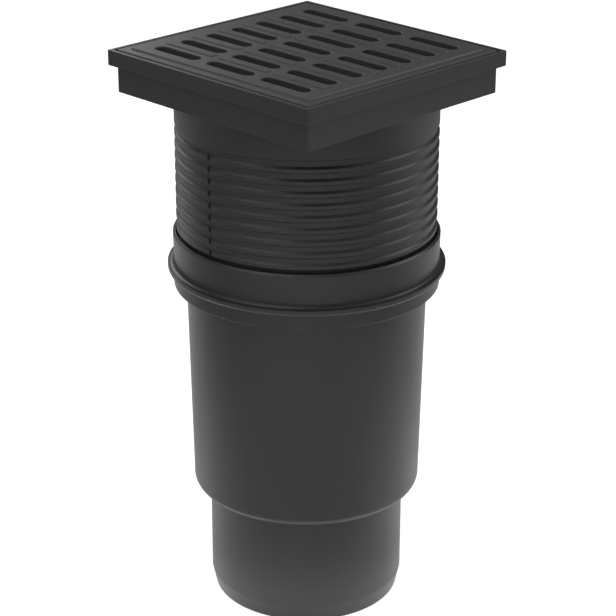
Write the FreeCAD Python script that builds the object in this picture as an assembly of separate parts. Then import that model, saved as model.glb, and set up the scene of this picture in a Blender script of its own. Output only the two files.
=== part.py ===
import FreeCAD
import Part
import math
import os

# Yard gully trap: square slotted grate in a frame with a round ribbed neck,
# turning in the socket of a round pot with a spigot outlet below.
# Millimetres, +Z up, origin at the centre of the spigot's lower end.
# The slots run along X.

# Frame and grate seat
plate_side = 150.0
plate_corner = 1.2
plate_edge = 0.5
rim_wall = 2.4
rim_overhang = 3.6
ledge_thick = 3.2
seat_depth = 5.0

# Box under the rim
box_drop = 14.9
box_wall = 2.6
box_floor = 2.6
box_corner = 1.0

# Ribbed neck
neck_wall = 3.0
neck_band_top = 14.4
neck_band_low = 11.3
rib_count = 11
rib_flat = 1.8
rib_chamfer = 1.1
rib_depth = 1.2
groove_floor = 2.6
top_groove_floor = 2.7
parting_width = 2.4
parting_depth = 0.1
neck_lead = 1.0

# Grate
grate_gap = 1.3
grate_proud = 1.1
grate_corner = 0.8
grate_edge = 0.4
border_width = 4.8
border_drop = 0.9
field_corner = 1.3
slot_rows = 7
slot_columns = 3
row_margin = 6.9
column_margin = 10.7
slot_length = 33.0
slot_width = 7.3
slot_chamfer = 0.3
tread_length = 36.0
tread_width = 4.4
tread_height = 0.6
grate_skirt_gap = 0.8
grate_skirt_wall = 2.4
grate_skirt_depth = 9.0
grate_web = 2.4
grate_web_depth = 7.0

# Socket of the pot
neck_clearance = 0.3
seat_clearance = 0.3
socket_depth = 27.4
collar_wall = 1.4
collar_flare = 0.35
collar_lead = 0.4
collar_edge = 1.1
bead_lift = 5.1
bead_height = 3.6
bead_proud = 3.5
bead_round = 1.8
bead_fillet = 2.2
skirt_wall = 1.65
skirt_round = 0.6
socket_floor = 3.5
socket_ledge = 4.8

# Pot and spigot
pot_wall = 2.9
pot_floor = 3.4
pot_round = 5.0
pot_inner_slope = 3.0
shoulder = 9.2
spigot_diameter = 110.0
spigot_length = 65.5
spigot_wall = 3.4
spigot_lead_length = 9.5
spigot_lead_depth = 2.1

# Seal ring in the lowest groove of the neck
seal_running_fit = 0.05
seal_end_gap = 0.2
seal_shoulder = 0.35

# Odour trap insert: funnel with dip tube, hanging cup and ring seal
flange_gap = 0.9
flange_thick = 2.2
funnel_skirt_depth = 16.4
funnel_skirt_gap = 0.5
funnel_wall = 2.25
cone_rise = 14.5
cone_thick = 2.8
dip_bore = 48.0
dip_wall = 2.0
ring_section = 3.6
ring_depth = 10.2
ring_fit = 0.05
ring_bevel = 0.8
ring_side_gap = 0.3
grip_width = 5.0
grip_height = 7.6
arm_count = 4
arm_width = 8.0
arm_thick = 2.6
arm_gap = 0.3
toe_height = 2.5
cup_gap = 15.6
cup_wall = 2.4
cup_bead_proud = 2.2
cup_bead_height = 2.5
cup_corner = 3.0
rim_drop = 2.5
water_seal = 50.0
dip_gap = 14.0
outlet_gap = 22.7

# Widths that follow from the sizes above
plate_half = plate_side / 2
seat_half = plate_half - rim_wall
box_half = plate_half - rim_overhang
box_inner = box_half - box_wall
neck_r = box_half
neck_bore = neck_r - neck_wall
groove_r = neck_r - rib_depth
collar_bore = neck_r + neck_clearance
collar_r = collar_bore + collar_wall
bead_r = collar_r + bead_proud
skirt_r = collar_bore + skirt_wall
pot_bore_top = neck_bore - socket_ledge
pot_top_r = pot_bore_top + pot_wall
spigot_r = spigot_diameter / 2
spigot_bore = spigot_r - spigot_wall
pot_low_r = spigot_r + shoulder
pot_bore_low = pot_low_r - pot_wall
grate_half = seat_half - grate_gap
dip_bore_r = dip_bore / 2
dip_r = dip_bore_r + dip_wall
cup_inner = dip_r + cup_gap
cup_r = cup_inner + cup_wall
cup_bead_r = cup_r + cup_bead_proud
arm_inner = cup_bead_r + arm_gap

# Heights that follow, from the spigot's end upwards
pot_under_z = spigot_length
pot_floor_z = pot_under_z + pot_floor
cup_under_z = pot_floor_z + outlet_gap
cup_floor_z = cup_under_z + cup_wall
dip_end_z = cup_floor_z + dip_gap
cup_rim_z = dip_end_z + water_seal
cone_low_z = cup_rim_z + rim_drop
skirt_end_z = cone_low_z + cone_rise
ledge_z = skirt_end_z + funnel_skirt_depth
socket_under_z = ledge_z - socket_floor
collar_top_z = ledge_z + socket_depth
bead_low_z = ledge_z + bead_lift
bead_top_z = bead_low_z + bead_height
neck_end_z = ledge_z + seat_clearance
low_groove_z = neck_end_z + neck_band_low + rib_chamfer
rib_height = rib_flat + 2 * rib_chamfer
rib_pitch = rib_height + groove_floor
first_rib_z = low_groove_z + groove_floor
top_groove_z = first_rib_z + rib_count * rib_pitch - groove_floor
top_band_z = top_groove_z + top_groove_floor + rib_chamfer
box_under_z = top_band_z + neck_band_top
rim_under_z = box_under_z + box_drop
seat_z = rim_under_z + ledge_thick
rim_top_z = seat_z + seat_depth
grate_top_z = rim_top_z + grate_proud
border_z = grate_top_z - border_drop

# Slot pattern
field_x = grate_half - column_margin
field_y = grate_half - row_margin
column_pitch = 2 * field_x / slot_columns
row_pitch = 2 * field_y / slot_rows
cut_margin = 1.0
closed_gap = 1e-6


def vec(x, y, z):
    return FreeCAD.Vector(x, y, z)


def arc_to(cr, cz, radius, start, end):
    """Arc in the (r, z) half plane as (middle r, middle z, end r, end z)."""
    mid = math.radians((start + end) / 2)
    last = math.radians(end)
    return (
        cr + radius * math.cos(mid),
        cz + radius * math.sin(mid),
        cr + radius * math.cos(last),
        cz + radius * math.sin(last),
    )


def turned(path):
    """Full turn about Z of a closed outline of (r, z) points and arcs."""
    edges = []
    here = path[0]
    for item in path[1:] + [path[0]]:
        start = vec(here[0], 0, here[1])
        end = vec(item[-2], 0, item[-1])
        if len(item) == 4:
            middle = vec(item[0], 0, item[1])
            edges.append(Part.Arc(start, middle, end).toShape())
        elif (end - start).Length > closed_gap:
            edges.append(Part.LineSegment(start, end).toShape())
        here = item[-2:]
    face = Part.Face(Part.Wire(edges))
    return face.revolve(vec(0, 0, 0), vec(0, 0, 1), 360)


def square(half, z_low, z_high, corner):
    """Upright square prism with rounded corners."""
    side = 2 * half
    block = Part.makeBox(side, side, z_high - z_low, vec(-half, -half, z_low))
    upright = []
    for edge in block.Edges:
        box = edge.BoundBox
        if box.ZLength > box.XLength + box.YLength:
            upright.append(edge)
    return block.makeFillet(corner, upright)


def top_edges(solid, z):
    """Edges of the outline of a solid's top face."""
    found = []
    for edge in solid.Edges:
        box = edge.BoundBox
        if abs(box.ZMin - z) < closed_gap and abs(box.ZMax - z) < closed_gap:
            found.append(edge)
    return found


def long_hole(x, y, z, length, width):
    """Outline with straight sides along X and full round ends."""
    r = width / 2
    s = length / 2 - r
    left_low = vec(x - s, y - r, z)
    right_low = vec(x + s, y - r, z)
    right_high = vec(x + s, y + r, z)
    left_high = vec(x - s, y + r, z)
    return Part.Wire([
        Part.LineSegment(left_low, right_low).toShape(),
        Part.Arc(right_low, vec(x + s + r, y, z), right_high).toShape(),
        Part.LineSegment(right_high, left_high).toShape(),
        Part.Arc(left_high, vec(x - s - r, y, z), left_low).toShape(),
    ])


def slot_cutter(x, y):
    """One slot through the grate with a chamfered upper edge."""
    depth = grate_top_z - seat_z + cut_margin
    outline = long_hole(x, y, seat_z - cut_margin, slot_length, slot_width)
    shaft = Part.Face(outline).extrude(vec(0, 0, depth + cut_margin))
    low = long_hole(x, y, grate_top_z - slot_chamfer, slot_length, slot_width)
    grow = 2 * (slot_chamfer + cut_margin)
    high_z = grate_top_z + cut_margin
    high = long_hole(x, y, high_z, slot_length + grow, slot_width + grow)
    flare = Part.makeLoft([low, high], True, True)
    return shaft.fuse(flare)


def tread(x, y):
    """Low bar between two slots, with 45 degree flanks."""
    sunk = tread_height / 2
    corner = vec(x - tread_length / 2, y - tread_width / 2, grate_top_z - sunk)
    bar = Part.makeBox(tread_length, tread_width, tread_height + sunk, corner)
    return bar.makeChamfer(tread_height, top_edges(bar, grate_top_z + tread_height))


def column_x():
    return [-field_x + (i + 0.5) * column_pitch for i in range(slot_columns)]


def row_y():
    return [-field_y + (i + 0.5) * row_pitch for i in range(slot_rows)]


def grate_webs():
    """Stiffening webs under the grate between the slots, and the skirt."""
    outer = box_inner - grate_skirt_gap
    inner = outer - grate_skirt_wall
    low = seat_z - grate_skirt_depth
    skirt = square(outer, low, seat_z, grate_corner)
    skirt = skirt.cut(Part.makeBox(
        2 * inner, 2 * inner, grate_skirt_depth + 2 * cut_margin,
        vec(-inner, -inner, low - cut_margin)))
    webs = []
    web_z = seat_z - grate_web_depth
    reach = inner + grate_skirt_wall / 2
    for i in range(1, slot_columns):
        x = -field_x + i * column_pitch - grate_web / 2
        webs.append(Part.makeBox(grate_web, 2 * reach, grate_web_depth, vec(x, -reach, web_z)))
    for i in range(1, slot_rows):
        y = -field_y + i * row_pitch - grate_web / 2
        webs.append(Part.makeBox(2 * reach, grate_web, grate_web_depth, vec(-reach, y, web_z)))
    return skirt.fuse(webs)


def make_grate():
    """Plate with a raised field, treads between the slots and webs below."""
    plate = square(grate_half, seat_z, border_z, grate_corner)
    plate = plate.makeChamfer(grate_edge, top_edges(plate, border_z))
    field = square(grate_half - border_width, seat_z, grate_top_z, field_corner)
    field = field.makeChamfer(border_drop, top_edges(field, grate_top_z))
    bars = []
    slots = []
    for x in column_x():
        for y in row_y():
            slots.append(slot_cutter(x, y))
        for i in range(1, slot_rows):
            bars.append(tread(x, -field_y + i * row_pitch))
    grate = plate.fuse([field] + bars + [grate_webs()]).removeSplitter()
    return grate.cut(slots)


def neck_outline():
    """Half section of the ribbed neck, from its lower end to the box."""
    path = [
        (neck_bore, neck_end_z),
        (neck_r - neck_lead, neck_end_z),
        (neck_r, neck_end_z + neck_lead),
        (neck_r, low_groove_z - rib_chamfer),
        (groove_r, low_groove_z),
    ]
    for i in range(rib_count):
        z = first_rib_z + i * rib_pitch
        path += [
            (groove_r, z),
            (neck_r, z + rib_chamfer),
            (neck_r, z + rib_chamfer + rib_flat),
            (groove_r, z + rib_height),
        ]
    path += [
        (groove_r, top_groove_z + top_groove_floor),
        (neck_r, top_band_z),
        (neck_r, box_under_z + box_floor / 2),
        (neck_bore, box_under_z + box_floor / 2),
    ]
    return path


def parting_cuts():
    """Narrow upright channels through the ribs on the -Y and +Y sides."""
    low = low_groove_z + groove_floor / 2
    height = top_groove_z + top_groove_floor / 2 - low
    near = groove_r - parting_depth
    far = neck_r + cut_margin
    cuts = []
    for y in (-far, near):
        cuts.append(Part.makeBox(
            parting_width, far - near, height, vec(-parting_width / 2, y, low)))
    return cuts


def make_frame_neck():
    rim = square(plate_half, rim_under_z, rim_top_z, plate_corner)
    rim = rim.makeFillet(plate_edge, top_edges(rim, rim_top_z))
    box = square(box_half, box_under_z, rim_under_z + ledge_thick / 2, box_corner)
    seat = square(seat_half, seat_z, rim_top_z + cut_margin, box_corner)
    well = square(box_inner, box_under_z + box_floor, rim_top_z + cut_margin, box_corner)
    bore = Part.makeCylinder(
        neck_bore, rim_top_z - neck_end_z, vec(0, 0, neck_end_z - cut_margin))
    frame = rim.fuse(box).cut([seat, well])
    neck = turned(neck_outline()).cut(parting_cuts())
    return frame.cut(bore).fuse(neck).removeSplitter()


def make_body():
    slope_z = pot_floor_z + pot_inner_slope
    lead_r = spigot_r - spigot_lead_depth
    outline = [
        (spigot_bore, 0),
        (lead_r, 0),
        (spigot_r, spigot_lead_length),
        (spigot_r, pot_under_z),
        (pot_low_r - pot_round, pot_under_z),
        arc_to(pot_low_r - pot_round, pot_under_z + pot_round, pot_round, -90, 0),
        (pot_top_r, socket_under_z),
        (skirt_r - skirt_round, socket_under_z),
        arc_to(skirt_r - skirt_round, socket_under_z + skirt_round, skirt_round, -90, 0),
        (skirt_r, bead_low_z),
        (bead_r - bead_round, bead_low_z),
        arc_to(bead_r - bead_round, bead_low_z + bead_round, bead_round, -90, 0),
        (bead_r, bead_top_z),
        (collar_r + bead_fillet, bead_top_z),
        arc_to(collar_r + bead_fillet, bead_top_z + bead_fillet, bead_fillet, 270, 180),
        (collar_r + collar_flare, collar_top_z - collar_edge),
        (collar_r + collar_flare - collar_edge, collar_top_z),
        (collar_bore + collar_lead / 2, collar_top_z),
        (collar_bore, collar_top_z - collar_lead),
        (collar_bore, ledge_z),
        (pot_bore_top, ledge_z),
        (pot_bore_low, slope_z),
        (spigot_bore, pot_floor_z),
    ]
    return turned(outline)


def make_neck_seal():
    """Lip ring filling the lowest groove of the neck."""
    low = low_groove_z + seal_end_gap
    high = low_groove_z + groove_floor - seal_end_gap
    middle = (low + high) / 2
    inner = groove_r + seal_running_fit
    lip = collar_bore - seal_running_fit
    return turned([
        (inner, low),
        (lip - seal_shoulder, low),
        (lip, middle - seal_shoulder),
        (lip, middle + seal_shoulder),
        (lip - seal_shoulder, high),
        (inner, high),
    ])


def pot_bore_at(z):
    """Radius of the tapered pot bore at height z."""
    low = pot_floor_z + pot_inner_slope
    share = (z - low) / (ledge_z - low)
    return pot_bore_low + share * (pot_bore_top - pot_bore_low)


ring_z = ledge_z - ring_depth
ring_mid_r = pot_bore_at(ring_z) - ring_fit - ring_section / 2
ring_seat_r = ring_mid_r - ring_section / 2 - ring_fit
funnel_skirt_r = pot_bore_at(skirt_end_z) - funnel_skirt_gap
funnel_inner_r = ring_seat_r - funnel_wall
cone_start_r = funnel_skirt_r - funnel_wall
cone_start_z = skirt_end_z - funnel_wall
cone_slope = (cone_start_z - cone_low_z) / (cone_start_r - dip_r)


def cone_under(r):
    """Height of the cone's underside at radius r."""
    return cone_low_z + cone_slope * (r - dip_r)


def funnel_arms():
    """Arms under the cone, each with an inward toe that carries the cup."""
    toe_z = cup_rim_z - cup_bead_height
    low = toe_z - toe_height
    outer = arm_inner + arm_thick
    toe_in = cup_r + arm_gap
    top = cone_under(arm_inner) + cone_thick / 2
    arms = []
    for i in range(arm_count):
        arm = Part.makeBox(arm_thick, arm_width, top - low, vec(arm_inner, -arm_width / 2, low))
        toe = Part.makeBox(outer - toe_in, arm_width, toe_height, vec(toe_in, -arm_width / 2, low))
        piece = arm.fuse(toe)
        piece.rotate(vec(0, 0, 0), vec(0, 0, 1), (i + 0.5) * 360 / arm_count)
        arms.append(piece)
    return arms


def make_trap_funnel():
    flange_r = neck_bore - flange_gap
    flange_top = ledge_z + flange_thick
    seat_half_height = ring_section / 2 + ring_side_gap
    mouth_r = funnel_skirt_r - funnel_wall
    outline = [
        (mouth_r, flange_top),
        (flange_r, flange_top),
        (flange_r, ledge_z),
        (funnel_skirt_r, ledge_z),
        (funnel_skirt_r, ring_z + seat_half_height),
        (ring_seat_r, ring_z + seat_half_height),
        (ring_seat_r, ring_z - seat_half_height),
        (funnel_skirt_r, ring_z - seat_half_height),
        (funnel_skirt_r, skirt_end_z),
        (cone_start_r, cone_start_z),
        (dip_r, cone_low_z),
        (dip_r, dip_end_z),
        (dip_bore_r, dip_end_z),
        (dip_bore_r, cone_under(dip_bore_r) + cone_thick),
        (funnel_inner_r, cone_under(funnel_inner_r) + cone_thick),
        (funnel_inner_r, ring_z + seat_half_height),
        (mouth_r, ring_z + seat_half_height + funnel_wall),
    ]
    grip_reach = mouth_r + funnel_wall / 2
    grip = Part.makeBox(
        2 * grip_reach, grip_width, grip_height,
        vec(-grip_reach, -grip_width / 2, flange_top - grip_height))
    return turned(outline).fuse(funnel_arms() + [grip]).removeSplitter()


def make_trap_seal():
    """Ring of square section with bevelled corners."""
    half = ring_section / 2
    flat = half - ring_bevel
    return turned([
        (ring_mid_r - flat, ring_z - half),
        (ring_mid_r + flat, ring_z - half),
        (ring_mid_r + half, ring_z - flat),
        (ring_mid_r + half, ring_z + flat),
        (ring_mid_r + flat, ring_z + half),
        (ring_mid_r - flat, ring_z + half),
        (ring_mid_r - half, ring_z + flat),
        (ring_mid_r - half, ring_z - flat),
    ])


def make_trap_cup():
    bead_z = cup_rim_z - cup_bead_height
    return turned([
        (0, cup_under_z),
        (cup_r - cup_corner, cup_under_z),
        (cup_r, cup_under_z + cup_corner),
        (cup_r, bead_z),
        (cup_bead_r, bead_z),
        (cup_bead_r, cup_rim_z),
        (cup_inner, cup_rim_z),
        (cup_inner, cup_floor_z),
        (0, cup_floor_z),
    ])


nodes = {
    "grate": make_grate,
    "frame_neck": make_frame_neck,
    "body": make_body,
    "neck_seal": make_neck_seal,
    "trap_funnel": make_trap_funnel,
    "trap_seal": make_trap_seal,
    "trap_cup": make_trap_cup,
}

os.makedirs("parts", exist_ok=True)
for name, make in nodes.items():
    solid = make()
    if solid.ShapeType == "Compound" and len(solid.Solids) == 1:
        solid = solid.Solids[0]
    solid.exportStep(os.path.join("parts", name + ".step"))
    low = round(solid.BoundBox.ZMin, 2)
    high = round(solid.BoundBox.ZMax, 2)
    print(name, solid.isValid(), len(solid.Solids), round(solid.Volume), "z", low, high)
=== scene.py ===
import math

import bpy
from mathutils import Matrix, Vector

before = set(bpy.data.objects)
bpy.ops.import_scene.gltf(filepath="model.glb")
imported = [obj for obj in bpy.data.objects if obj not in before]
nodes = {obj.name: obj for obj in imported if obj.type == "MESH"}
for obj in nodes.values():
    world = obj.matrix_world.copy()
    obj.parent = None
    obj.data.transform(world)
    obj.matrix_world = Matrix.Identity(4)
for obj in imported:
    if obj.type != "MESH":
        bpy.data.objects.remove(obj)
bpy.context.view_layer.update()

print("frame loaded:", ", ".join(sorted(nodes)))


# node tree helpers: in keyword names an underscore stands for a space

def addNode(tree, kind, place, **settings):
    node = tree.nodes.new(kind)
    node.location = place
    for name, value in settings.items():
        setattr(node, name, value)
    return node


# a socket is linked, a plain value is set
def feed(tree, socket, value):
    if isinstance(value, bpy.types.NodeSocket):
        tree.links.new(value, socket)
    else:
        socket.default_value = value


def setInputs(node, **values):
    for name, value in values.items():
        feed(node.id_data, node.inputs[name.replace("_", " ")], value)
    return node


def addMath(tree, place, operation, *values):
    node = addNode(tree, "ShaderNodeMath", place, operation=operation)
    for socket, value in zip(node.inputs, values):
        feed(tree, socket, value)
    return node.outputs["Value"]


def addVectorMath(tree, place, operation, *values):
    node = addNode(tree, "ShaderNodeVectorMath", place, operation=operation)
    for socket, value in zip(node.inputs, values):
        feed(tree, socket, value)
    isNumber = operation in ("LENGTH", "DOT_PRODUCT")
    return node.outputs["Value" if isNumber else "Vector"]


def remap(tree, place, value, span, result=(0.0, 1.0), curve="LINEAR"):
    node = addNode(tree, "ShaderNodeMapRange", place, interpolation_type=curve)
    setInputs(
        node, Value=value,
        From_Min=span[0], From_Max=span[1], To_Min=result[0], To_Max=result[1],
    )
    return node.outputs["Result"]


# the Mix node has a pair of inputs and an output for each kind of data
mixSlots = {"FLOAT": (2, 3, 0), "VECTOR": (4, 5, 1), "RGBA": (6, 7, 2)}


def mixValues(tree, place, kind, first, second, share):
    node = addNode(tree, "ShaderNodeMix", place, data_type=kind)
    firstSlot, secondSlot, resultSlot = mixSlots[kind]
    feed(tree, node.inputs[0], share)
    feed(tree, node.inputs[firstSlot], first)
    feed(tree, node.inputs[secondSlot], second)
    return node.outputs[resultSlot]


def startGroup(name, inputs, outputs):
    group = bpy.data.node_groups.new(name, "ShaderNodeTree")
    for socketName, value in inputs.items():
        kind = "NodeSocketFloat" if isinstance(value, float) else "NodeSocketVector"
        socket = group.interface.new_socket(name=socketName, in_out="INPUT", socket_type=kind)
        socket.default_value = value
    for socketName, kind in outputs.items():
        group.interface.new_socket(name=socketName, in_out="OUTPUT", socket_type=kind)
    entry = addNode(group, "NodeGroupInput", (-1400, 0))
    leave = addNode(group, "NodeGroupOutput", (700, 0))
    return group, entry, leave


def placeGroup(tree, group, place, **values):
    return setInputs(addNode(tree, "ShaderNodeGroup", place, node_tree=group), **values)


# moulded skin: fine spark grain, slow flow marks, both from object space
mouldSkin = {
    "grainShare": 0.35, "flowShare": 0.65,
    "flowStretch": (1.0, 1.0, 0.35),    # flow runs up the moulding
}


def buildMouldSkin():
    group, entry, leave = startGroup(
        "mouldSkin",
        {"Grain Scale": 2600.0, "Flow Scale": 14.0},
        {"Tone": "NodeSocketFloat", "Rough": "NodeSocketFloat", "Height": "NodeSocketFloat"},
    )
    where = addNode(group, "ShaderNodeTexCoord", (-1000, -250)).outputs["Object"]
    grain = addNode(group, "ShaderNodeTexNoise", (-500, 200))
    setInputs(grain, Vector=where, Scale=entry.outputs["Grain Scale"], Detail=2.0, Roughness=0.55)
    stretch = addNode(group, "ShaderNodeMapping", (-750, -250))
    setInputs(stretch, Vector=where, Scale=mouldSkin["flowStretch"])
    flow = addNode(group, "ShaderNodeTexNoise", (-500, -250))
    setInputs(
        flow, Vector=stretch.outputs["Vector"], Scale=entry.outputs["Flow Scale"],
        Detail=3.0, Roughness=0.6,
    )
    flowTone = addMath(group, (-250, -150), "MULTIPLY", flow.outputs["Fac"], mouldSkin["flowShare"])
    tone = addMath(
        group, (0, 0), "MULTIPLY_ADD", grain.outputs["Fac"], mouldSkin["grainShare"], flowTone,
    )
    setInputs(leave, Tone=tone, Rough=flow.outputs["Fac"], Height=grain.outputs["Fac"])
    return group


# rubbed edges: where a rounded normal leaves the true one, kept off inner corners
edgeRub = {
    "turnSpan": (0.995, 0.8),       # cosine between both normals: no rub, full rub
    "nearReach": 0.003, "openSpan": (0.75, 0.98),
}


def buildEdgeRub():
    group, entry, leave = startGroup(
        "edgeRub",
        {"Radius": 0.0006, "Break Up": 160.0},
        {"Mask": "NodeSocketFloat", "Normal": "NodeSocketVector"},
    )
    soft = addNode(group, "ShaderNodeBevel", (-900, 150), samples=6)
    setInputs(soft, Radius=entry.outputs["Radius"])
    true = addNode(group, "ShaderNodeNewGeometry", (-900, -50))
    together = addVectorMath(
        group, (-650, 100), "DOT_PRODUCT", soft.outputs["Normal"], true.outputs["Normal"],
    )
    turn = remap(group, (-400, 100), together, edgeRub["turnSpan"])
    nearby = addNode(group, "ShaderNodeAmbientOcclusion", (-900, -300), samples=4)
    setInputs(nearby, Distance=edgeRub["nearReach"])
    openness = remap(group, (-400, -200), nearby.outputs["AO"], edgeRub["openSpan"])
    where = addNode(group, "ShaderNodeTexCoord", (-900, -550)).outputs["Object"]
    patch = addNode(group, "ShaderNodeTexNoise", (-400, -500))
    setInputs(patch, Vector=where, Scale=entry.outputs["Break Up"], Detail=3.0)
    outer = addMath(group, (-100, 0), "MULTIPLY", turn, openness)
    broken = addMath(group, (150, -100), "MULTIPLY", outer, patch.outputs["Fac"])
    setInputs(leave, Mask=broken, Normal=soft.outputs["Normal"])
    return group


# turned walls: the shade follows the axis all round, also where the turning begins
def buildTurnedWall():
    group, entry, leave = startGroup(
        "turnedWall",
        {"Normal": (0.0, 0.0, 0.0), "Top": 1.0, "Least": 0.998},
        {"Normal": "NodeSocketVector"},
    )
    across, along = (1.0, 1.0, 0.0), (0.0, 0.0, 1.0)
    where = addNode(group, "ShaderNodeTexCoord", (-1200, 250)).outputs["Object"]
    height = addNode(group, "ShaderNodeSeparateXYZ", (-1000, 400))
    setInputs(height, Vector=where)
    level = addVectorMath(group, (-1000, 150), "MULTIPLY", where, across)
    outward = addVectorMath(group, (-800, 150), "NORMALIZE", level)
    own = addNode(
        group, "ShaderNodeVectorTransform", (-1200, -150),
        vector_type="NORMAL", convert_from="WORLD", convert_to="OBJECT",
    )
    setInputs(own, Vector=entry.outputs["Normal"])
    ownNormal = own.outputs["Vector"]
    flat = addVectorMath(group, (-1000, -100), "MULTIPLY", ownNormal, across)
    upright = addVectorMath(group, (-1000, -300), "MULTIPLY", ownNormal, along)
    lean = addVectorMath(group, (-800, -100), "LENGTH", flat)
    facing = addVectorMath(group, (-600, 50), "DOT_PRODUCT", flat, outward)
    side = addMath(group, (-400, 100), "SIGN", facing)      # outer wall 1, bore -1
    reach = addMath(group, (-250, 100), "MULTIPLY", side, lean)
    straight = addNode(group, "ShaderNodeVectorMath", (-100, 100), operation="SCALE")
    setInputs(straight, Vector=outward, Scale=reach)
    mended = addVectorMath(group, (50, 50), "ADD", straight.outputs["Vector"], upright)

    # flat faces turn away from the axis, so they keep their own normal
    amount = addMath(group, (-400, -100), "ABSOLUTE", facing)
    least = addMath(group, (-400, -250), "MULTIPLY", lean, entry.outputs["Least"])
    isTurned = addMath(group, (-200, -150), "GREATER_THAN", amount, least)
    isBelow = addMath(group, (-200, 350), "LESS_THAN", height.outputs["Z"], entry.outputs["Top"])
    share = addMath(group, (0, -150), "MULTIPLY", isTurned, isBelow)
    chosen = mixValues(group, (200, 0), "VECTOR", ownNormal, mended, share)
    back = addNode(
        group, "ShaderNodeVectorTransform", (400, 0),
        vector_type="NORMAL", convert_from="OBJECT", convert_to="WORLD",
    )
    setInputs(back, Vector=chosen)
    setInputs(leave, Normal=back.outputs["Vector"])
    return group


# fine dust: lies on upward faces and gathers in corners
dustFilm = {
    "flatSpan": (0.6, 1.0),         # upward share of the normal: no dust, full dust
    "cloudScale": 45.0,
    "cornerReach": 0.004, "cornerSpan": (0.8, 0.3),
}


def buildDustFilm():
    group, entry, leave = startGroup(
        "dustFilm",
        {"Lying": 0.3, "Corner": 0.2},
        {"Mask": "NodeSocketFloat"},
    )
    true = addNode(group, "ShaderNodeNewGeometry", (-1200, 200))
    split = addNode(group, "ShaderNodeSeparateXYZ", (-1000, 200))
    setInputs(split, Vector=true.outputs["Normal"])
    upward = remap(group, (-750, 200), split.outputs["Z"], dustFilm["flatSpan"])
    where = addNode(group, "ShaderNodeTexCoord", (-1200, -100)).outputs["Object"]
    cloud = addNode(group, "ShaderNodeTexNoise", (-1000, -100))
    setInputs(cloud, Vector=where, Scale=dustFilm["cloudScale"], Detail=5.0, Roughness=0.65)
    lying = addMath(group, (-450, 200), "MULTIPLY", upward, cloud.outputs["Fac"])
    lyingShare = addMath(group, (-200, 200), "MULTIPLY", lying, entry.outputs["Lying"])
    nearby = addNode(group, "ShaderNodeAmbientOcclusion", (-1000, -350), samples=4)
    setInputs(nearby, Distance=dustFilm["cornerReach"])
    corner = remap(group, (-750, -350), nearby.outputs["AO"], dustFilm["cornerSpan"])
    cornerShare = addMath(group, (-200, -300), "MULTIPLY", corner, entry.outputs["Corner"])
    total = addMath(group, (100, 0), "ADD", lyingShare, cornerShare)
    total.node.use_clamp = True
    setInputs(leave, Mask=total)
    return group


skinGroup = buildMouldSkin()
rubGroup = buildEdgeRub()
turnedGroup = buildTurnedWall()
dustGroup = buildDustFilm()
print("shader groups built")

noiseSpan = (0.3, 0.7)      # the middle of the noise, spread over a look's whole range


def mixColours(tree, place, first, second, share):
    first, second = (
        (*colour, 1.0) if isinstance(colour, tuple) else colour for colour in (first, second)
    )
    return mixValues(tree, place, "RGBA", first, second, share)


def mouldedMaterial(name, look):
    material = bpy.data.materials.new(name)
    material.use_nodes = True
    tree = material.node_tree
    tree.nodes.clear()
    skin = placeGroup(
        tree, skinGroup, (-900, 100),
        Grain_Scale=look["grainScale"], Flow_Scale=look["flowScale"],
    )
    rub = placeGroup(tree, rubGroup, (-900, -150), Radius=look["rubRadius"])
    dust = placeGroup(
        tree, dustGroup, (-900, -400), Lying=look["dustLying"], Corner=look["dustCorner"],
    )
    tone = remap(tree, (-650, 150), skin.outputs["Tone"], noiseSpan)
    colour = mixColours(tree, (-400, 200), look["dark"], look["light"], tone)
    rubShare = addMath(tree, (-650, -150), "MULTIPLY", rub.outputs["Mask"], look["rubShare"])
    colour = mixColours(tree, (-150, 200), colour, look["rubColour"], rubShare)
    colour = mixColours(tree, (100, 200), colour, look["dustColour"], dust.outputs["Mask"])
    rough = remap(
        tree, (-150, -50), skin.outputs["Rough"], noiseSpan, (look["roughLow"], look["roughHigh"]),
    )
    wallNormal = rub.outputs["Normal"]
    if "turnedTop" in look:
        turned = placeGroup(
            tree, turnedGroup, (-400, -300),
            Normal=wallNormal, Top=look["turnedTop"], Least=look["turnedLeast"],
        )
        wallNormal = turned.outputs["Normal"]
    bump = addNode(tree, "ShaderNodeBump", (100, -250))
    setInputs(
        bump, Strength=look["bumpStrength"], Distance=look["bumpDepth"],
        Height=skin.outputs["Height"], Normal=wallNormal,
    )
    shader = addNode(tree, "ShaderNodeBsdfPrincipled", (400, 0))
    setInputs(
        shader, Base_Color=colour, Roughness=rough, IOR=look["ior"],
        Specular_IOR_Level=look["gloss"], Normal=bump.outputs["Normal"],
    )
    out = addNode(tree, "ShaderNodeOutputMaterial", (700, 0))
    setInputs(out, Surface=shader.outputs["BSDF"])
    return material


def dress(nodeName, material):
    mesh = nodes[nodeName].data
    if not mesh.materials:
        mesh.materials.append(material)
    for index in range(len(mesh.materials)):
        mesh.materials[index] = material


# grate: finely sparked matt polypropylene, a touch paler than the rest
grate = {
    "dark": (0.05, 0.05, 0.05), "light": (0.061, 0.061, 0.061),
    "rubColour": (0.11, 0.11, 0.11), "rubShare": 0.2, "rubRadius": 0.0004,
    "dustColour": (0.2, 0.2, 0.195), "dustLying": 0.03, "dustCorner": 0.02,
    "ior": 1.49, "gloss": 0.4, "roughLow": 0.38, "roughHigh": 0.48,
    "grainScale": 2400.0, "flowScale": 18.0, "bumpStrength": 0.35, "bumpDepth": 0.0002,
}
dress("grate", mouldedMaterial("gratePlastic", grate))

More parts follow.
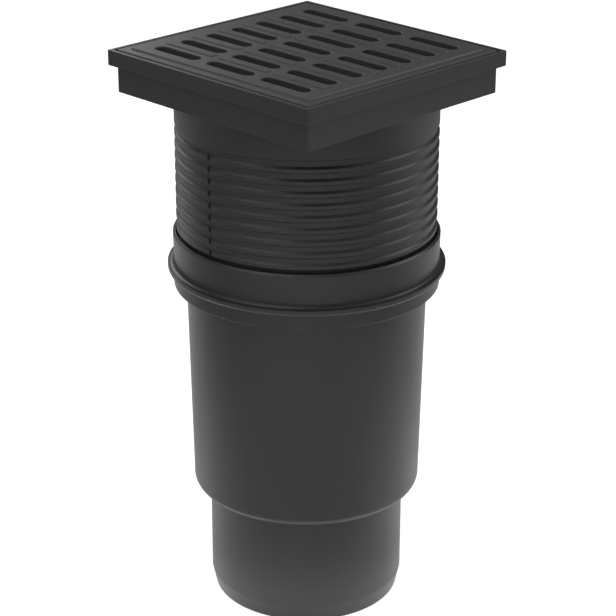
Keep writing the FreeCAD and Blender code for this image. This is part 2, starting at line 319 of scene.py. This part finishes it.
# rim, box and ribbed neck: satin wall
frameNeck = {
    "dark": (0.028, 0.028, 0.028), "light": (0.035, 0.035, 0.035),
    "rubColour": (0.11, 0.11, 0.11), "rubShare": 0.04, "rubRadius": 0.0003,
    "dustColour": (0.2, 0.2, 0.195), "dustLying": 0.03, "dustCorner": 0.02,
    "ior": 1.49, "gloss": 0.47, "roughLow": 0.36, "roughHigh": 0.46,
    "grainScale": 2000.0, "flowScale": 14.0, "bumpStrength": 0.2, "bumpDepth": 0.0002,
    "turnedTop": 0.2948, "turnedLeast": 0.998,      # round up to here, square above
}
dress("frame_neck", mouldedMaterial("framePlastic", frameNeck))

# socket, pot and spigot: smoother satin wall with slow flow marks
potBody = {
    "dark": (0.021, 0.021, 0.021), "light": (0.027, 0.027, 0.027),
    "rubColour": (0.11, 0.11, 0.11), "rubShare": 0.04, "rubRadius": 0.0002,
    "dustColour": (0.2, 0.2, 0.195), "dustLying": 0.03, "dustCorner": 0.02,
    "ior": 1.49, "gloss": 0.5, "roughLow": 0.36, "roughHigh": 0.46,
    "grainScale": 1800.0, "flowScale": 12.0, "bumpStrength": 0.2, "bumpDepth": 0.0002,
    "turnedTop": 1.0, "turnedLeast": 0.0,           # every face is turned
}
dress("body", mouldedMaterial("potPlastic", potBody))

# trap insert under the grate
trapInsert = {
    "dark": (0.022, 0.022, 0.022), "light": (0.03, 0.03, 0.03),
    "rubColour": (0.09, 0.09, 0.09), "rubShare": 0.25, "rubRadius": 0.0004,
    "dustColour": (0.18, 0.18, 0.175), "dustLying": 0.03, "dustCorner": 0.03,
    "ior": 1.49, "gloss": 0.5, "roughLow": 0.32, "roughHigh": 0.42,
    "grainScale": 1800.0, "flowScale": 16.0, "bumpStrength": 0.2, "bumpDepth": 0.0002,
}
trapPlastic = mouldedMaterial("trapPlastic", trapInsert)
dress("trap_funnel", trapPlastic)
dress("trap_cup", trapPlastic)

# seal rings: smooth black rubber
sealRings = {
    "dark": (0.008, 0.008, 0.008), "light": (0.013, 0.013, 0.013),
    "rubColour": (0.04, 0.04, 0.04), "rubShare": 0.3, "rubRadius": 0.0004,
    "dustColour": (0.14, 0.14, 0.135), "dustLying": 0.06, "dustCorner": 0.05,
    "ior": 1.52, "gloss": 0.4, "roughLow": 0.5, "roughHigh": 0.62,
    "grainScale": 3000.0, "flowScale": 30.0, "bumpStrength": 0.15, "bumpDepth": 0.0001,
}
sealRubber = mouldedMaterial("sealRubber", sealRings)
dress("neck_seal", sealRubber)
dress("trap_seal", sealRubber)
print("materials placed")


# camera: corner view from a little above, fitted to the photograph's outline
camera = {
    "azimuth": 45.0, "elevation": 22.95, "distance": 1.1093, "aimHeight": 0.1697,
    "pixelsFocal": 1986.6, "pixelsWide": 616.0, "shiftLeft": 1.4, "roll": 0.002,
    "sensorWide": 36.0, "clipNear": 0.05, "clipFar": 50.0,
}


# places in the studio are given as the camera sees them
def seenFromCamera(right, behind, up):
    turn = math.radians(camera["azimuth"])
    rightward = Vector((math.cos(turn), math.sin(turn), 0.0))
    backward = Vector((-math.sin(turn), math.cos(turn), 0.0))
    return rightward * right + backward * behind + Vector((0.0, 0.0, up))


# studio: pale floor that shows white, in a dim room
studio = {
    "floorHalf": 4.0, "floorColour": (0.8, 0.8, 0.8),
    "floorLift": 0.8,               # brings the floor to white, the shadow stays
    "roomFront": 0.2, "roomBehind": 0.14, "roomFade": (-0.6, 0.7),
    "aimHeight": 0.16,              # where the soft boxes point
}
# painted light: glowing patches of table, seen only by reflection, lighting the piece though the
# table is no lamp: place and reach in metres
paintedGlowPools = {
    "poolFoot": {
        "right": 0.0, "behind": -0.035, "near": 0.045, "far": 0.105, "stretch": 1.0, "light": 1.35,
    },
    "paintedFootShadow": {                # painted shadow: takes light away, right at the foot
        "right": 0.0, "behind": 0.0, "near": 0.056, "far": 0.075, "stretch": 1.0, "light": -0.6,
    },
    "poolFront": {
        "right": 0.05, "behind": -0.5, "near": 0.28, "far": 0.42, "stretch": 1.6, "light": 0.42,
    },
    "poolFar": {
        "right": 0.1, "behind": -0.8, "near": 0.12, "far": 0.3, "stretch": 2.2, "light": 0.55,
    },
    "poolBehind": {
        "right": 0.0, "behind": 0.35, "near": 0.2, "far": 0.45, "stretch": 1.8, "light": 0.4,
    },
    "poolNearLeft": {
        "right": -0.19, "behind": -0.02, "near": 0.05, "far": 0.2, "stretch": 1.0, "light": 0.6,
    },
    "poolNearRight": {
        "right": 0.2, "behind": -0.02, "near": 0.05, "far": 0.21, "stretch": 1.0, "light": 0.75,
    },
    "poolRight": {
        "right": 0.8, "behind": 0.1, "near": 0.1, "far": 0.5, "stretch": 1.0, "light": 0.5,
    },
}


# one patch of painted glow on the table, fading smoothly from near to far
def addPool(tree, where, pool, row):
    spread = addNode(tree, "ShaderNodeMapping", (-900, row), vector_type="TEXTURE")
    setInputs(
        spread, Vector=where, Location=seenFromCamera(pool["right"], pool["behind"], 0.0),
        Rotation=(0.0, 0.0, math.radians(camera["azimuth"])), Scale=(pool["stretch"], 1.0, 1.0),
    )
    away = addVectorMath(tree, (-700, row), "LENGTH", spread.outputs["Vector"])
    return remap(
        tree, (-500, row), away, (pool["near"], pool["far"]), (pool["light"], 0.0), "SMOOTHSTEP",
    )


# floor paper: white to the camera, and painted glow with a painted shadow at the foot for every
# other ray
def floorPaperAndGlow():
    material = bpy.data.materials.new("floorPaperAndGlow")
    material.cycles.emission_sampling = "NONE"
    material.use_nodes = True
    tree = material.node_tree
    tree.nodes.clear()
    where = addNode(tree, "ShaderNodeTexCoord", (-1100, 100)).outputs["Object"]
    total = 0.0
    for count, pool in enumerate(paintedGlowPools.values()):
        row = 300.0 * count
        total = addMath(tree, (-300, row), "ADD", total, addPool(tree, where, pool, row))
    isCamera = addNode(tree, "ShaderNodeLightPath", (-400, -200)).outputs["Is Camera Ray"]
    strength = mixValues(tree, (-100, -100), "FLOAT", total, studio["floorLift"], isCamera)
    liftAndGlow = addNode(tree, "ShaderNodeEmission", (100, -100))
    setInputs(liftAndGlow, Strength=strength)
    paper = addNode(tree, "ShaderNodeBsdfDiffuse", (100, 100))
    setInputs(paper, Color=(*studio["floorColour"], 1.0))
    add = addNode(tree, "ShaderNodeAddShader", (400, 0))
    feed(tree, add.inputs[0], paper.outputs["BSDF"])
    feed(tree, add.inputs[1], liftAndGlow.outputs["Emission"])
    out = addNode(tree, "ShaderNodeOutputMaterial", (600, 0))
    setInputs(out, Surface=add.outputs["Shader"])
    return material


def makeFloor():
    half = studio["floorHalf"]
    mesh = bpy.data.meshes.new("studioFloor")
    corners = [(-half, -half, 0.0), (half, -half, 0.0), (half, half, 0.0), (-half, half, 0.0)]
    mesh.from_pydata(corners, [], [(0, 1, 2, 3)])
    floor = bpy.data.objects.new("studioFloor", mesh)
    bpy.context.scene.collection.objects.link(floor)
    mesh.materials.append(floorPaperAndGlow())


# white to the camera, a dim room to the piece itself
def makeWorld():
    world = bpy.data.worlds.new("studioWorld")
    bpy.context.scene.world = world
    world.use_nodes = True
    tree = world.node_tree
    tree.nodes.clear()
    where = addNode(tree, "ShaderNodeTexCoord", (-900, 100)).outputs["Generated"]
    away = addVectorMath(
        tree, (-650, 100), "DOT_PRODUCT", where, seenFromCamera(0.0, 1.0, 0.0),
    )
    shade = remap(
        tree, (-350, 100), away, studio["roomFade"],
        (studio["roomFront"], studio["roomBehind"]), "SMOOTHSTEP",
    )
    plainWhite = (1.0, 1.0, 1.0, 1.0)
    room = addNode(tree, "ShaderNodeBackground", (0, 100))
    setInputs(room, Color=plainWhite, Strength=shade)
    white = addNode(tree, "ShaderNodeBackground", (0, -100))
    setInputs(white, Color=plainWhite)
    isCamera = addNode(tree, "ShaderNodeLightPath", (0, 350)).outputs["Is Camera Ray"]
    mix = addNode(tree, "ShaderNodeMixShader", (400, 0))
    feed(tree, mix.inputs[0], isCamera)
    feed(tree, mix.inputs[1], room.outputs["Background"])
    feed(tree, mix.inputs[2], white.outputs["Background"])
    out = addNode(tree, "ShaderNodeOutputWorld", (600, 0))
    setInputs(out, Surface=mix.outputs["Shader"])


# soft boxes: place and size in metres
softBoxes = {
    "boxKey": {
        "right": -0.3, "behind": -0.35, "up": 0.85, "width": 0.7, "height": 0.7, "watts": 2.0,
    },
    "boxRight": {
        "right": 1.05, "behind": 0.25, "up": 1.0, "width": 0.6, "height": 0.6, "watts": 4.0,
    },
    "boxLeft": {
        "right": -0.55, "behind": 0.95, "up": 0.75, "width": 0.8, "height": 0.5, "watts": 3.6,
    },
    "boxTop": {
        "right": 0.0, "behind": 0.1, "up": 1.6, "width": 0.9, "height": 0.9, "watts": 1.5,
    },
}


def makeSoftBoxes():
    target = Vector((0.0, 0.0, studio["aimHeight"]))
    for name, box in softBoxes.items():
        light = bpy.data.lights.new(name, "AREA")
        light.shape = "RECTANGLE"
        light.size = box["width"]
        light.size_y = box["height"]
        light.energy = box["watts"]
        lamp = bpy.data.objects.new(name, light)
        lamp.location = seenFromCamera(box["right"], box["behind"], box["up"])
        lamp.rotation_euler = (target - lamp.location).to_track_quat("-Z", "Y").to_euler()
        bpy.context.scene.collection.objects.link(lamp)


def makeCamera():
    data = bpy.data.cameras.new("photoCamera")
    view = bpy.data.objects.new("photoCamera", data)
    bpy.context.scene.collection.objects.link(view)
    rise = math.radians(camera["elevation"])
    back = seenFromCamera(0.0, -math.cos(rise), math.sin(rise))
    view.location = Vector((0.0, 0.0, camera["aimHeight"])) + back * camera["distance"]
    aim = (-back).to_track_quat("-Z", "Y").to_matrix().to_4x4()
    view.rotation_euler = (aim @ Matrix.Rotation(camera["roll"], 4, "Z")).to_euler()
    data.sensor_width = camera["sensorWide"]
    data.lens = camera["pixelsFocal"] * data.sensor_width / camera["pixelsWide"]
    data.shift_x = camera["shiftLeft"] / camera["pixelsWide"]
    data.clip_start = camera["clipNear"]
    data.clip_end = camera["clipFar"]
    bpy.context.scene.camera = view


makeFloor()
makeWorld()
makeSoftBoxes()
makeCamera()
bpy.context.scene.view_settings.view_transform = "Standard"
print("studio ready")
